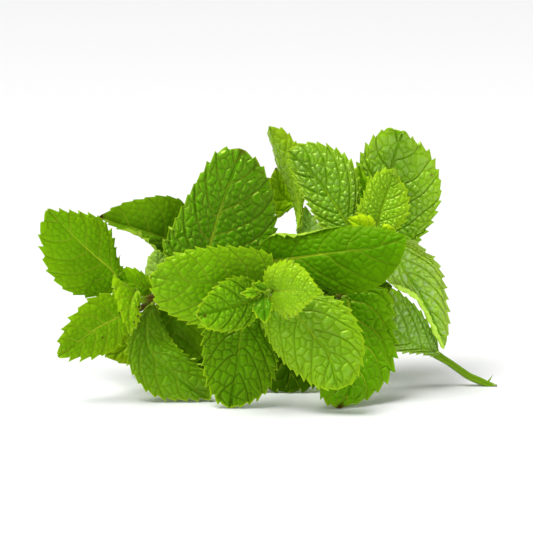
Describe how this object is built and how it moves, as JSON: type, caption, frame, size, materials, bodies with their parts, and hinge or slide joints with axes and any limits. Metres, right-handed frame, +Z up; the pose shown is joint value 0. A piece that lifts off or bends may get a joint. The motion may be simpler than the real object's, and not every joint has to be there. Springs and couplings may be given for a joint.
{
  "type": "spearmint sprig",
  "caption": "Cut spearmint sprig lying on its side: a branched stem with toothed, veined leaves in crossed pairs and young tip leaves.",
  "frame": {"origin": "centre of the bounding box's bottom face, on the table that the sprig lies on", "axes": "+Z up from the table, +X along the sprig towards the cut end of its stem, -Y towards the side with the best leaves"},
  "size_m": [0.1603, 0.071, 0.092],
  "materials": {
    "young_leaf": "semi-gloss yellow-green young leaf with light veins",
    "fresh_leaf": "semi-gloss mid-green leaf, puckered between its veins",
    "deep_leaf": "glossy deep green leaf with pale veins",
    "dark_leaf": "dark green leaf of the shaded inside",
    "dull_leaf": "dull grey-green underside with a fine bloom",
    "stem": "satin green stem, purplish at its joints"
  },
  "bodies": {
    "root": {"leaf_back_far_left": "deep_leaf", "leaf_back_low_far_left": "deep_leaf", "leaf_back_low_left": "deep_leaf", "leaf_back_low_right": "deep_leaf", "leaf_back_top_middle": "deep_leaf", "leaf_back_top_right": "fresh_leaf", "leaf_back_upright": "deep_leaf", "leaf_broad_top": "fresh_leaf", "leaf_curled_top": "dark_leaf", "leaf_dull_top": "dull_leaf", "leaf_far_left_hanging": "fresh_leaf", "leaf_far_left_inner": "deep_leaf", "leaf_far_left_lower": "young_leaf", "leaf_far_left_upper": "fresh_leaf", "leaf_folded_left": "dark_leaf", "leaf_front_left_large": "fresh_leaf", "leaf_front_left_small": "fresh_leaf", "leaf_front_right_large": "fresh_leaf", "leaf_front_right_small": "young_leaf", "leaf_hanging_right": "fresh_leaf", "leaf_inner_far_left": "dull_leaf", "leaf_inner_left": "dark_leaf", "leaf_inner_low": "dark_leaf", "leaf_inner_middle": "dark_leaf", "leaf_inner_right": "dark_leaf", "leaf_long_middle": "deep_leaf", "leaf_low_front_left": "deep_leaf", "leaf_low_front_right": "deep_leaf", "leaf_low_left_behind": "deep_leaf", "leaf_low_left_large": "fresh_leaf", "leaf_low_middle": "dark_leaf", "leaf_low_right": "deep_leaf", "leaf_narrow_top": "fresh_leaf", "leaf_sliver_top": "deep_leaf", "leaf_upright_left": "deep_leaf", "leaf_upright_right": "fresh_leaf", "leaf_young_top": "young_leaf", "shoot_tip_front": "young_leaf", "shoot_tip_top": "young_leaf", "stem": "stem"}
  },
  "joints": []
}
